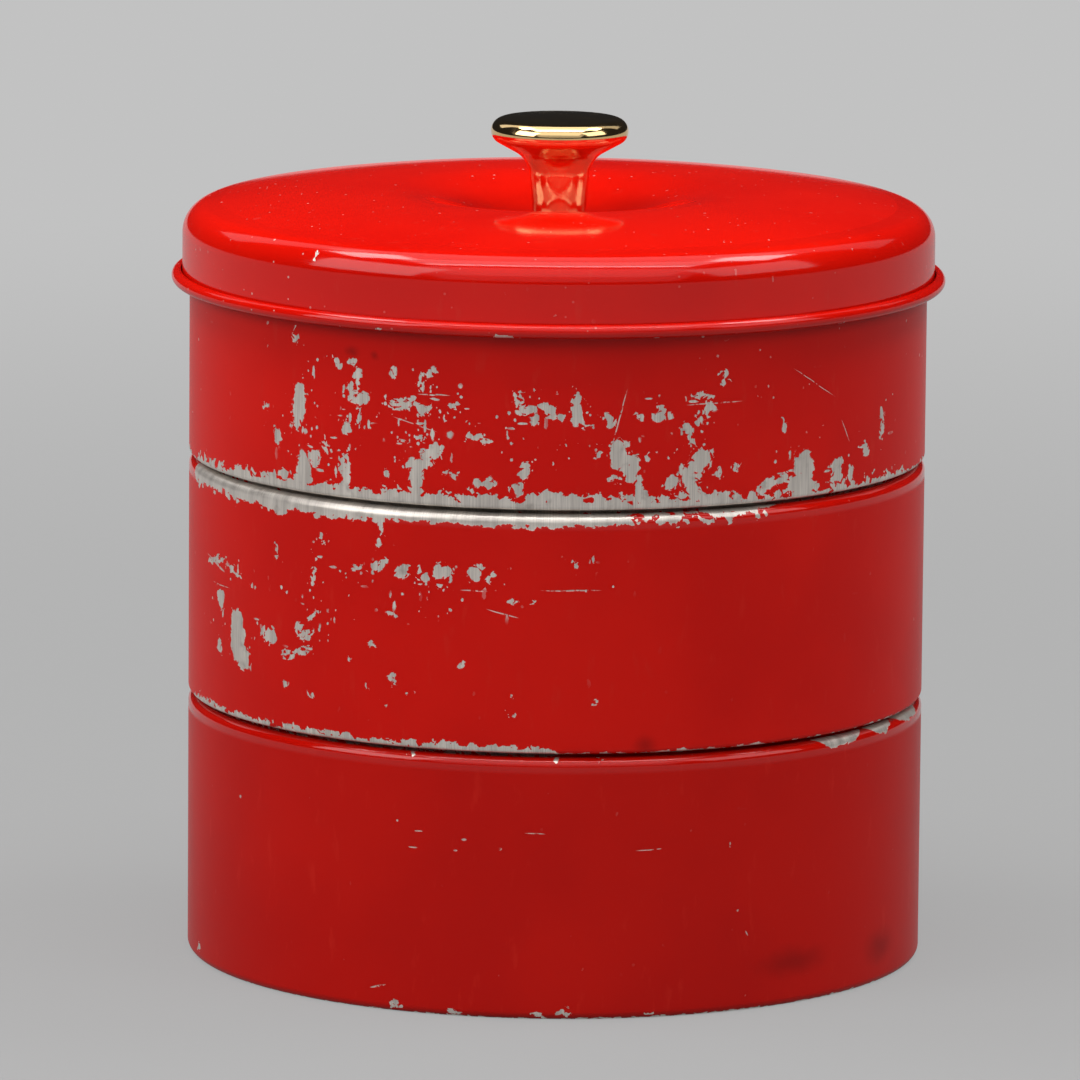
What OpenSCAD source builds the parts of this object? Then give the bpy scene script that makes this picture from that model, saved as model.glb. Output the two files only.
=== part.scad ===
// Stacking cake tin: three drawn pans that nest in each other, and a slip-over lid with a turned knob.
// Every piece is a body of revolution about Z. Z = 0 is the face that the bottom tier stands on.

/* [Tiers] */
// Outside radius of a tier's wall
wall_r = 120; // [100:1:150]
// Thickness of the drawn sheet
sheet_t = 0.9; // [0.6:0.1:1.2]
// Height of the bottom tier, from its base to the top of its rim
bottom_h = 84.6; // [60:0.1:130]
// Height that the middle tier adds to the stack
middle_h = 78.2; // [50:0.1:120]
// Height that the top tier adds to the stack
top_h = 79.6; // [55:0.1:120]
// Outside radius of the bend round a floor
base_round = 2.5; // [1.5:0.1:3]
// Radius of the rolled rim's cross-section
rim_round = 3; // [2.5:0.1:3.5]

/* [Floor panel] */
// Width of the flat ring that a tier stands on, inside the bend
stand_w = 12; // [6:0.5:25]
// Rise of the stiffening panel inside that ring
panel_rise = 1; // [0.4:0.1:2]
// Width of the slope up to the panel
panel_slope_w = 3; // [2:0.5:8]

/* [Nesting foot] */
// Depth of a foot below the rim that it sits in
foot_drop = 7; // [6:0.1:12]
// Clearance round a foot inside the rolled rim
foot_fit = 0.45; // [0.35:0.05:0.6]
// Outside radius of the flare that cradles the rolled rim
flare_round = 4; // [4:0.1:5]
// Outside radius of the corner under a tier's wall
step_round = 1.4; // [1.2:0.1:1.6]
// Gap between a rolled rim and what rests on it
seat_gap = 0.3; // [0.1:0.05:0.3]

/* [Lid] */
// Clearance between a tier's wall and the lid's skirt
lid_fit = 1.5; // [0.5:0.1:3]
// Straight height of the skirt, from the bead's middle to the shoulder
skirt_h = 14.1; // [8:0.1:40]
// Radius of the bead's cross-section
bead_round = 2.2; // [1.8:0.1:3]
// Outside radius of the shoulder
shoulder_round = 9.5; // [9:0.1:14]
// Radius of the crown's dome, from the shoulder up to its highest ring
crown_round = 350; // [250:10:900]
// Radius at which the crown is highest
lip_r = 57.5; // [50:0.5:70]
// Radius of the round from that high ring into the dish
lip_round = 70; // [40:1:80]
// Depth of the dish in the middle of the crown
dish_depth = 10; // [9:0.5:13]
// Radius of the flat that the knob stands on
dish_seat_r = 14; // [12:0.5:16]

/* [Curls] */
// Slit between the end of a curl and the sheet that it starts from
curl_slit = 0.4; // [0.2:0.1:0.6]

/* [Knob] */
// Height of the knob above its seat
knob_h = 34.3; // [30:0.1:45]
// Radius of the knob's head
knob_head_r = 22.4; // [18:0.1:28]
// Radius of the head's rounded edge
knob_edge_round = 4.2; // [3:0.1:5]
// Radius of the head's domed top
knob_dome_round = 260; // [120:5:600]
// Slope of the head's underside, from the stem's flare up to its edge, in degrees
knob_under_slope = 29; // [22:1:34]
// Radius of the stem at its foot
knob_stem_r = 8.4; // [7:0.1:10]
// Taper of the stem, in degrees to its side
knob_taper = 5; // [2:0.5:8]
// Radius of the flare from the stem to the head
knob_flare_round = 9.4; // [6:0.1:11]
// Chamfer round the stem's foot
knob_foot_chamfer = 0.6; // [0.2:0.1:1]

/* [Knob fastening] */
// Radius of the screw's shank
screw_r = 2; // [1.5:0.1:2.5]
// Length of the screw under its head
screw_len = 13; // [10:0.5:16]
// Radius of the screw's head
screw_head_r = 3.9; // [3.5:0.1:5]
// Height of the screw's head
screw_head_h = 2.6; // [2:0.1:3.5]
// Width of the driver slot
slot_w = 1.2; // [0.8:0.1:1.4]
// Depth of the driver slot
slot_depth = 1.3; // [0.8:0.1:1.6]
// Clearance between the screw and the knob's hole
thread_fit = 0.05; // [0.02:0.01:0.1]
// Clearance between the screw and the holes in the washers and the lid
hole_fit = 0.2; // [0.1:0.05:0.4]
// Depth of the knob's hole past the end of the screw
hole_spare = 2; // [0.5:0.5:4]
// Outside radius of the flat washer
flat_washer_r = 8; // [6:0.1:10]
// Thickness of the flat washer
flat_washer_t = 1; // [0.6:0.1:1.5]
// Outside radius of the split washer
split_washer_r = 3.6; // [3.4:0.1:5]
// Thickness of the split washer
split_washer_t = 1; // [0.8:0.1:1.4]
// Width of the cut through the split washer
split_w = 0.6; // [0.3:0.1:1]

/* [Hidden] */
$fn = 180;
red = [0.72, 0.03, 0.02];
gold = [0.83, 0.62, 0.3];
steel = [0.7, 0.7, 0.72];
eps = 1;
arc_step = 3;
dish_arc_step = 1.5;
crown_arc_step = 1;

// Heights of the rims, from the ground up
bottom_rim_z = bottom_h;
middle_rim_z = bottom_rim_z + middle_h;
top_rim_z = middle_rim_z + top_h;

// The foot goes inside the rolled rim, and its flare cradles the rim's round top
foot_r = wall_r - 2 * rim_round - foot_fit;
cradle_across = flare_round - rim_round - foot_fit;
cradle_reach = flare_round - rim_round - seat_gap;
ledge_lift = flare_round - rim_round + sqrt(pow(cradle_reach, 2) - pow(cradle_across, 2));

// The lid's shoulder rests on the rolled rim of the top tier
skirt_r = wall_r + lid_fit + sheet_t;
shoulder_c = skirt_r - shoulder_round;
shoulder_across = wall_r - rim_round - shoulder_c;
shoulder_reach = shoulder_round - sheet_t - rim_round - seat_gap;
shoulder_z = top_rim_z - rim_round - sqrt(pow(shoulder_reach, 2) - pow(shoulder_across, 2));
bead_z = shoulder_z - skirt_h;

// The crown rises in one arc to its highest ring, and sinks into the dish by two arcs, all on shared tangents
crown_angle = asin((shoulder_c - lip_r) / (crown_round - shoulder_round));
lip_z = shoulder_z + crown_round - (crown_round - shoulder_round) * cos(crown_angle);
dish_z = lip_z - dish_depth;
dish_w = lip_r - dish_seat_r;
dish_angle = 2 * atan(dish_depth / dish_w);
bowl_round = (pow(dish_w, 2) + pow(dish_depth, 2)) / (2 * dish_depth) - lip_round;

// Knob: its edge is tangent to the domed top, and its tapering stem and sloping underside to the flare
knob_edge_c = knob_head_r - knob_edge_round;
knob_dome_drop = sqrt(pow(knob_dome_round - knob_edge_round, 2) - pow(knob_edge_c, 2));
knob_edge_z = knob_h - knob_dome_round + knob_dome_drop;
knob_dome_angle = asin(knob_edge_c / (knob_dome_round - knob_edge_round));
knob_stem_line = knob_stem_r + knob_flare_round / cos(knob_taper);
knob_flare_z = (knob_edge_z + knob_stem_line * tan(knob_under_slope)
    - (knob_edge_c * sin(knob_under_slope) + knob_edge_round + knob_flare_round) / cos(knob_under_slope))
    / (1 - tan(knob_taper) * tan(knob_under_slope));
knob_flare_c = knob_stem_line + knob_flare_z * tan(knob_taper);

// Fastening stack under the crown
stack_t = sheet_t + flat_washer_t + split_washer_t;
screw_reach = screw_len - stack_t;
clear_r = screw_r + hole_fit;

function arc(c, r, from, to, step) =
    let (count = max(2, ceil(abs(to - from) / step)))
    [for (i = [0 : count]) let (a = from + (to - from) * i / count) c + r * [cos(a), sin(a)]];
function reversed(points) = [for (i = [len(points) - 1 : -1 : 0]) points[i]];

// A quarter of a bent sheet: its outside radius, and the quadrant that it fills
module bend(round, quadrant) {
    intersection() {
        difference() {
            circle(r = round);
            circle(r = round - sheet_t);
        }
        rotate(90 * quadrant) square(round + eps);
    }
}

// A sheet edge that comes in at the right, going up, and curls over to the left
module curl(round) {
    difference() {
        circle(r = round);
        circle(r = round - sheet_t);
        translate([round - sheet_t - curl_slit, -round - eps]) square([round, round + eps]);
    }
}

// Floor of a tier: a flat ring to stand on, and a raised panel inside it
module floor_profile(outer) {
    ring = outer - stand_w;
    panel = ring - panel_slope_w;
    polygon([
        [0, panel_rise], [panel, panel_rise], [ring, 0], [outer, 0],
        [outer, sheet_t], [ring, sheet_t], [panel, panel_rise + sheet_t], [0, panel_rise + sheet_t]
    ]);
}

// Wall of a tier, from its lowest bend up into the rolled rim
module wall_profile(from_z, rim_z) {
    translate([wall_r - sheet_t, from_z]) square([sheet_t, rim_z - rim_round - from_z]);
    translate([wall_r - rim_round, rim_z - rim_round]) curl(rim_round);
}

// Bottom tier: its wall goes straight down to the floor
module tier_bottom() {
    color(red) rotate_extrude() {
        floor_profile(wall_r - base_round);
        translate([wall_r - base_round, base_round]) bend(base_round, 3);
        wall_profile(base_round, bottom_rim_z);
    }
}

// Upper tier: under its wall a flare cradles the rim below, and a foot goes down inside that rim
module upper_tier(seat_z, rim_z) {
    ledge_z = seat_z + ledge_lift;
    floor_z = seat_z - foot_drop;
    rotate_extrude() {
        translate([0, floor_z]) floor_profile(foot_r - base_round);
        translate([foot_r - base_round, floor_z + base_round]) bend(base_round, 3);
        translate([foot_r - sheet_t, floor_z + base_round])
            square([sheet_t, ledge_z - flare_round - floor_z - base_round]);
        translate([foot_r + flare_round, ledge_z - flare_round]) bend(flare_round + sheet_t, 1);
        translate([foot_r + flare_round, ledge_z])
            square([wall_r - step_round - foot_r - flare_round, sheet_t]);
        translate([wall_r - step_round, ledge_z + step_round]) bend(step_round, 3);
        wall_profile(ledge_z + step_round, rim_z);
    }
}

module tier_middle() {
    color(red) upper_tier(bottom_rim_z, middle_rim_z);
}

module tier_top() {
    color(red) upper_tier(middle_rim_z, top_rim_z);
}

// One face of the lid's crown, at a depth below its outside, from the shoulder in to the screw hole
function crown_face(depth) = concat(
    arc([shoulder_c, shoulder_z], shoulder_round - depth, 0, 90 - crown_angle, arc_step),
    arc([lip_r, lip_z - crown_round], crown_round - depth, 90 - crown_angle, 90, crown_arc_step),
    arc([lip_r, lip_z - lip_round], lip_round - depth, 90, 90 + dish_angle, dish_arc_step),
    arc([dish_seat_r, dish_z + bowl_round], bowl_round + depth, 270 + dish_angle, 270, dish_arc_step),
    [[clear_r, dish_z - depth]]
);

// Lid: a dished crown, a straight skirt that slips over the top tier, and a bead curled outward
module lid() {
    color(red) rotate_extrude() {
        polygon(concat(crown_face(0), reversed(crown_face(sheet_t))));
        translate([skirt_r - sheet_t, bead_z]) square([sheet_t, skirt_h]);
        translate([skirt_r - sheet_t + bead_round, bead_z]) rotate(180) curl(bead_round);
    }
}

// Knob: a turned stem that flares into a round-edged head, with a blind hole for the screw
module knob() {
    color(gold) translate([0, 0, dish_z]) difference() {
        rotate_extrude() polygon(concat(
            [[0, 0], [knob_stem_r - knob_foot_chamfer, 0],
                [knob_stem_r + knob_foot_chamfer * tan(knob_taper), knob_foot_chamfer]],
            arc([knob_flare_c, knob_flare_z], knob_flare_round, 180 - knob_taper, 90 + knob_under_slope, arc_step),
            arc([knob_edge_c, knob_edge_z], knob_edge_round, knob_under_slope - 90, 90 - knob_dome_angle, arc_step),
            arc([0, knob_h - knob_dome_round], knob_dome_round, 90 - knob_dome_angle, 90, dish_arc_step)
        ));
        translate([0, 0, -eps]) cylinder(r = screw_r + thread_fit, h = screw_reach + hole_spare + eps);
    }
}

// Slotted pan-head screw that comes up through the washers and the crown into the knob
module knob_screw() {
    color(steel) translate([0, 0, dish_z - stack_t]) difference() {
        union() {
            cylinder(r = screw_r, h = screw_len);
            translate([0, 0, -screw_head_h]) cylinder(r = screw_head_r, h = screw_head_h);
        }
        translate([-screw_head_r - eps, -slot_w / 2, -screw_head_h - eps])
            cube([2 * (screw_head_r + eps), slot_w, slot_depth + eps]);
    }
}

// Flat washer against the underside of the crown
module flat_washer() {
    color(steel) translate([0, 0, dish_z - sheet_t - flat_washer_t]) difference() {
        cylinder(r = flat_washer_r, h = flat_washer_t);
        translate([0, 0, -eps]) cylinder(r = clear_r, h = flat_washer_t + 2 * eps);
    }
}

// Split washer between the flat washer and the screw's head
module split_washer() {
    color(steel) translate([0, 0, dish_z - stack_t]) difference() {
        cylinder(r = split_washer_r, h = split_washer_t);
        translate([0, 0, -eps]) cylinder(r = clear_r, h = split_washer_t + 2 * eps);
        translate([0, -split_w / 2, -eps]) cube([split_washer_r + eps, split_w, split_washer_t + 2 * eps]);
    }
}

tier_bottom();
tier_middle();
tier_top();
lid();
knob();
knob_screw();
flat_washer();
split_washer();
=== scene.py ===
"""Stacking cake tin in worn red lacquer: three nesting tiers, a dished lid and a gold-plated knob.

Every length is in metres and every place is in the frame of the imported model: Z is up, the origin is
in the middle of the face that the tin stands on, and the front faces -Y.
"""
from __future__ import annotations

import logging
import math
from dataclasses import dataclass, field
from enum import Enum
from typing import Any, Iterable, Sequence

import bmesh
import bpy
from mathutils import Matrix, Vector


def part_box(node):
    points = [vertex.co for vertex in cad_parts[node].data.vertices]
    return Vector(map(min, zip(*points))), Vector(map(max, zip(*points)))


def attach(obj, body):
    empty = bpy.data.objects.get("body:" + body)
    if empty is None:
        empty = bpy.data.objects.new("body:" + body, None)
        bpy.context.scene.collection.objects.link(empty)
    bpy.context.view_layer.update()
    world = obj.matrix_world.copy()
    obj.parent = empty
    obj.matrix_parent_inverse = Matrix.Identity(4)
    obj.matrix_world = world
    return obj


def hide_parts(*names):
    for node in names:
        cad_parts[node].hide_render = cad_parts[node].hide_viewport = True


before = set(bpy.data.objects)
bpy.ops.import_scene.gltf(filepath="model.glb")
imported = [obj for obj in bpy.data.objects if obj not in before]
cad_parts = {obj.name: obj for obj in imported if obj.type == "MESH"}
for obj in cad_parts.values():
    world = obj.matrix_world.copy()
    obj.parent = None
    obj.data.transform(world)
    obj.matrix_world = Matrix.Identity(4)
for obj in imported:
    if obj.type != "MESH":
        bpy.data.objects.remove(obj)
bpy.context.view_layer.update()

LOG = logging.getLogger("cake_tin")
MM = 0.001
FULL_TURN = 360.0
Colour = tuple[float, float, float]


# --- Shader maths ---


class Value:
    """A number socket that can be used in Python expressions."""

    def __init__(self, shader: Shader, socket: Any) -> None:
        """Wraps a socket.

        Args:
            shader: The shader whose tree holds the socket.
            socket: The output socket.
        """
        self.shader = shader
        self.socket = socket

    def maths(self, operation: str, *operands: Any) -> Value:
        """Adds a Math node.

        Args:
            operation: The node's operation.
            operands: Numbers or Values, in the node's order.

        Returns:
            The node's result.
        """
        node = self.shader.node("ShaderNodeMath", {"operation": operation}, dict(enumerate(operands)))
        return Value(self.shader, node.outputs[0])

    def __add__(self, other: Any) -> Value:
        """Returns self + other."""
        return self.maths("ADD", self, other)

    __radd__ = __add__

    def __sub__(self, other: Any) -> Value:
        """Returns self - other."""
        return self.maths("SUBTRACT", self, other)

    def __rsub__(self, other: Any) -> Value:
        """Returns other - self."""
        return self.maths("SUBTRACT", other, self)

    def __mul__(self, other: Any) -> Value:
        """Returns self * other."""
        return self.maths("MULTIPLY", self, other)

    __rmul__ = __mul__

    def __truediv__(self, other: Any) -> Value:
        """Returns self / other."""
        return self.maths("DIVIDE", self, other)

    def __abs__(self) -> Value:
        """Returns the size of self without its sign."""
        return self.maths("ABSOLUTE", self)

    def least(self, other: Any) -> Value:
        """Returns the lower of self and other."""
        return self.maths("MINIMUM", self, other)

    def most(self, other: Any) -> Value:
        """Returns the higher of self and other."""
        return self.maths("MAXIMUM", self, other)

    def ramp(self, low: Any, high: Any, start: Any = 0.0, end: Any = 1.0) -> Value:
        """Maps a range to another one smoothly, and holds it past both ends.

        Args:
            low: Where the result is start.
            high: Where the result is end.
            start: The result at low.
            end: The result at high.

        Returns:
            The mapped value.
        """
        settings = {"interpolation_type": "SMOOTHSTEP", "clamp": True}
        inputs = {"Value": self, "From Min": low, "From Max": high, "To Min": start, "To Max": end}
        node = self.shader.node("ShaderNodeMapRange", settings, inputs)
        return Value(self.shader, node.outputs["Result"])


class Shader:
    """A material's node tree, with one method that adds any node."""

    def __init__(self, name: str) -> None:
        """Starts an empty material.

        Args:
            name: The material's name.
        """
        self.material = bpy.data.materials.new(name)
        self.material.use_nodes = True
        self.tree = self.material.node_tree
        self.tree.nodes.clear()
        self.output = self.tree.nodes.new("ShaderNodeOutputMaterial")

    def node(self, kind: str, settings: dict[str, Any], inputs: dict[Any, Any]) -> Any:
        """Adds a node, sets its settings and then fills its sockets.

        Args:
            kind: The node's type.
            settings: Attributes of the node, which are set first.
            inputs: Socket names or numbers, and their values, sockets or Values.

        Returns:
            The node.
        """
        made = self.tree.nodes.new(kind)
        for name, setting in settings.items():
            setattr(made, name, setting)
        for key, given in inputs.items():
            self.fill(made.inputs[key], given)
        return made

    def fill(self, socket: Any, given: Any) -> None:
        """Links a socket to what is given, or sets its value.

        Args:
            socket: The input socket.
            given: A Value, a socket, a number or a tuple.
        """
        if isinstance(given, Value):
            self.tree.links.new(given.socket, socket)
        elif isinstance(given, bpy.types.NodeSocket):
            self.tree.links.new(given, socket)
        elif socket.type == "RGBA" and len(given) == 3:
            socket.default_value = (*given, 1.0)
        else:
            socket.default_value = given

    def place(self) -> Any:
        """Returns the socket of the point on the object, in metres."""
        return self.node("ShaderNodeTexCoord", {}, {}).outputs["Object"]

    def vector(self, x: Any, y: Any, z: Any) -> Any:
        """Returns the socket of a vector made of three numbers."""
        return self.node("ShaderNodeCombineXYZ", {}, {"X": x, "Y": y, "Z": z}).outputs[0]

    def stretched(self, vector: Any, scale: Sequence[float]) -> Any:
        """Returns the socket of a vector times a scale."""
        return self.node("ShaderNodeMapping", {}, {"Vector": vector, "Scale": tuple(scale)}).outputs[0]

    def split(self, kind: str, given: Any) -> tuple[Value, Value, Value]:
        """Returns the three parts of a vector or a colour, by the type of node that takes it apart."""
        made = self.node(kind, {}, {0: given})
        return Value(self, made.outputs[0]), Value(self, made.outputs[1]), Value(self, made.outputs[2])

    def axes(self, place: Any) -> tuple[Value, Value, Value]:
        """Returns the X, Y and Z of a place."""
        return self.split("ShaderNodeSeparateXYZ", place)

    def parts(self, colour: Any) -> tuple[Value, Value, Value]:
        """Returns the red, green and blue of a colour."""
        return self.split("ShaderNodeSeparateColor", colour)

    def length(self, vector: Any) -> Value:
        """Returns the length of a vector."""
        made = self.node("ShaderNodeVectorMath", {"operation": "LENGTH"}, {0: vector})
        return Value(self, made.outputs["Value"])

    def noise(self, vector: Any, scale: float, detail: float = 2.0, rough: float = 0.5) -> Value:
        """Adds a noise texture.

        Args:
            vector: Where it is read.
            scale: Repeats to the metre.
            detail: Number of finer layers.
            rough: Strength of the finer layers.

        Returns:
            The noise, from 0 to 1 about 0.5.
        """
        inputs = {"Vector": vector, "Scale": scale, "Detail": detail, "Roughness": rough}
        return Value(self, self.node("ShaderNodeTexNoise", {}, inputs).outputs[0])

    def cells(self, vector: Any, scale: float) -> tuple[Value, Any]:
        """Adds a pattern of angular cells.

        Args:
            vector: Where it is read.
            scale: Cells to the metre.

        Returns:
            The distance from the middle of the cell, and the socket of the cell's own colour.
        """
        made = self.node("ShaderNodeTexVoronoi", {}, {"Vector": vector, "Scale": scale})
        return Value(self, made.outputs["Distance"]), made.outputs["Color"]

    def shifted(self, vector: Any, colour: Any, amount: float) -> Any:
        """Returns the socket of a flat vector, shifted by a colour that stands about mid grey."""
        settings = {"operation": "MULTIPLY_ADD"}
        inputs = {0: colour, 1: (amount, amount, 0.0), 2: (-amount / 2, -amount / 2, 0.0)}
        shift = self.node("ShaderNodeVectorMath", settings, inputs).outputs[0]
        return self.node("ShaderNodeVectorMath", {"operation": "ADD"}, {0: vector, 1: shift}).outputs[0]

    def warp(self, vector: Any, place: Any, scale: float, amount: float, detail: float = 2.0) -> Any:
        """Shifts a vector by a noise of colours, so that plain outlines on it turn ragged.

        Args:
            vector: The vector to shift.
            place: Where the noise is read.
            scale: Repeats of the noise to the metre.
            amount: The whole spread of the shift, in the vector's units.
            detail: Number of finer layers.

        Returns:
            The socket of the shifted vector.
        """
        inputs = {"Vector": place, "Scale": scale, "Detail": detail, "Roughness": 0.6}
        colour = self.node("ShaderNodeTexNoise", {}, inputs).outputs["Color"]
        return self.shifted(vector, colour, amount)

    def mix(self, share: Any, first: Any, second: Any) -> Any:
        """Mixes two colours.

        Args:
            share: How much of the second colour, from 0 to 1.
            first: A colour or its socket.
            second: A colour or its socket.

        Returns:
            The socket of the mixed colour.
        """
        settings = {"data_type": "RGBA", "blend_type": "MIX"}
        made = self.node("ShaderNodeMix", settings, {0: share})
        self.fill(made.inputs[6], first)
        self.fill(made.inputs[7], second)
        return made.outputs[2]

    def bump(self, height: Value, depth: float, below: Any = None) -> Any:
        """Adds a Bump node.

        Args:
            height: The height, from 0 to 1.
            depth: What 1 stands for, in metres.
            below: The socket of a normal that this bump lies on.

        Returns:
            The socket of the normal.
        """
        inputs: dict[Any, Any] = {"Height": height, "Distance": depth, "Strength": 1.0}
        if below is not None:
            inputs["Normal"] = below
        return self.node("ShaderNodeBump", {}, inputs).outputs[0]

    def surface(self, inputs: dict[Any, Any]) -> bpy.types.Material:
        """Ends the tree in a Principled shader.

        Args:
            inputs: The shader's sockets and what fills them.

        Returns:
            The material.
        """
        shader = self.node("ShaderNodeBsdfPrincipled", {}, inputs)
        self.tree.links.new(shader.outputs[0], self.output.inputs[0])
        return self.material


# --- Wear ---


class Edge(Enum):
    """The edge of a tier that a bare band runs along."""

    FOOT = "foot"
    RIM = "rim"


@dataclass(frozen=True)
class Chip:
    """A spot on the tin: a chip, a scratch, a darker spot or an area.

    Attributes:
        angle: Degrees round the tin from its front, towards +X.
        height: Millimetres above the ground.
        wide: Width in millimetres.
        high: Height in millimetres.
        turn: Degrees that it leans.
    """

    angle: float
    height: float
    wide: float
    high: float
    turn: float = 0.0


@dataclass(frozen=True)
class Cluster:
    """An area that is sprinkled with small flakes.

    Attributes:
        angle: Degrees round the tin of its middle.
        height: Millimetres above the ground of its middle.
        wide: Width in millimetres.
        high: Height in millimetres.
        density: How much of it is bare, from 0 to 1.
    """

    angle: float
    height: float
    wide: float
    high: float
    density: float


@dataclass(frozen=True)
class Flake:
    """A kind of small flake that the clusters are made of.

    Attributes:
        scale: Flakes to the metre.
        stretch: How much finer they are along each axis.
        share: How much of a wholly worn area they take.
    """

    scale: float
    stretch: tuple[float, float, float]
    share: float


FLAKES = (
    Flake(1050.0, (1.0, 1.0, 0.8), 0.14),
    Flake(560.0, (1.5, 1.5, 0.5), 0.1),
    Flake(560.0, (0.5, 0.5, 1.9), 0.07),
    Flake(360.0, (1.0, 1.0, 0.9), 0.05),
)


@dataclass(frozen=True)
class Band:
    """A bare strip along an edge.

    Attributes:
        edge: The edge that it runs along.
        width: Millimetres that it reaches from the edge.
        ragged: Millimetres that its width comes and goes.
        start: Degrees round the tin where it begins.
        end: Degrees round the tin where it ends.
    """

    edge: Edge
    width: float
    ragged: float
    start: float
    end: float


@dataclass(frozen=True)
class Wear:
    """All the wear of one piece, with its darker spots, which on the lower tiers are painted shade.

    Attributes:
        chips: Where the lacquer has come off.
        clusters: Where it has come off in many small flakes.
        bands: Where it has come off along an edge.
        scratches: Where it is scratched through.
        dark_spots: Where it is darker.
        sprinkle: How much of the rest is bare, from 0 to 1.
    """

    chips: tuple[Chip, ...] = ()
    clusters: tuple[Cluster, ...] = ()
    bands: tuple[Band, ...] = ()
    scratches: tuple[Chip, ...] = ()
    dark_spots: tuple[Chip, ...] = ()
    sprinkle: float = 0.0


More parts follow.
